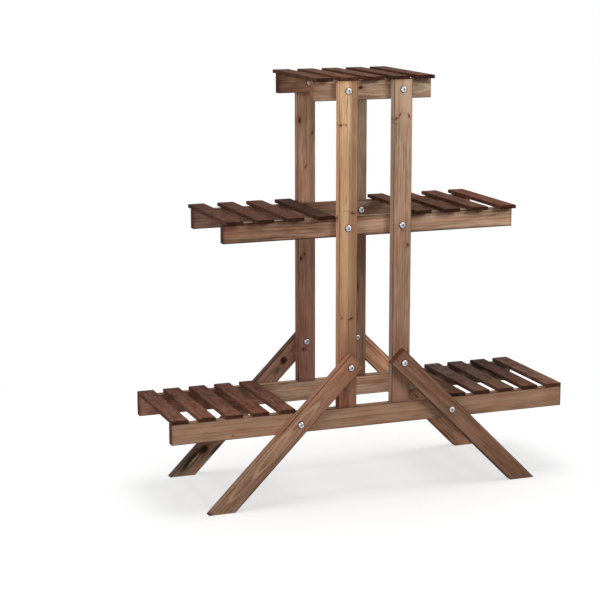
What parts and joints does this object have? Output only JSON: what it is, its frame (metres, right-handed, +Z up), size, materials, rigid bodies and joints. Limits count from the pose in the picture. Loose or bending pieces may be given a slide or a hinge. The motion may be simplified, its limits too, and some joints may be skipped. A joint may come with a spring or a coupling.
{
  "type": "plant stand",
  "caption": "Stepped wooden plant stand with slatted shelves on bolted rails, upright posts and splayed diagonal legs.",
  "frame": {"origin": "on the floor, under the middle of the stand", "axes": "+X along the width to the right, -Y towards the front, +Z up"},
  "size_m": [0.83, 0.285, 0.825],
  "materials": {
    "post_wood": "stained, matt",
    "rail_wood": "stained, matt",
    "leg_wood": "stained, matt",
    "slat_wood": "stained, matt",
    "zinc_steel": "bright zinc plated",
    "brad_steel": "plain wire"
  },
  "bodies": {
    "root": {"post_front_left": "post_wood", "leg_front_left": "leg_wood", "post_front_right": "post_wood", "leg_front_right": "leg_wood", "rail_bottom_front": "rail_wood", "rail_middle_front": "rail_wood", "rail_top_front": "rail_wood", "post_back_left": "post_wood", "leg_back_left": "leg_wood", "post_back_right": "post_wood", "leg_back_right": "leg_wood", "rail_bottom_back": "rail_wood", "rail_middle_back": "rail_wood", "rail_top_back": "rail_wood", "slat_bottom_left_1": "slat_wood", "slat_bottom_left_2": "slat_wood", "slat_bottom_left_3": "slat_wood", "slat_bottom_left_4": "slat_wood", "slat_bottom_left_5": "slat_wood", "slat_bottom_right_1": "slat_wood", "slat_bottom_right_2": "slat_wood", "slat_bottom_right_3": "slat_wood", "slat_bottom_right_4": "slat_wood", "slat_bottom_right_5": "slat_wood", "slat_middle_left_1": "slat_wood", "slat_middle_left_2": "slat_wood", "slat_middle_left_3": "slat_wood", "slat_middle_left_4": "slat_wood", "slat_middle_right_1": "slat_wood", "slat_middle_right_2": "slat_wood", "slat_middle_right_3": "slat_wood", "slat_middle_right_4": "slat_wood", "slat_top_1": "slat_wood", "slat_top_2": "slat_wood", "slat_top_3": "slat_wood", "slat_top_4": "slat_wood", "slat_top_5": "slat_wood", "bolts_post_top": "zinc_steel", "sleeves_post_top": "zinc_steel", "bolts_post_middle": "zinc_steel", "sleeves_post_middle": "zinc_steel", "bolts_leg_post": "zinc_steel", "sleeves_leg_post": "zinc_steel", "bolts_leg_rail": "zinc_steel", "sleeves_leg_rail": "zinc_steel", "brads_bottom": "brad_steel", "brads_middle": "brad_steel", "brads_top": "brad_steel"}
  },
  "joints": []
}
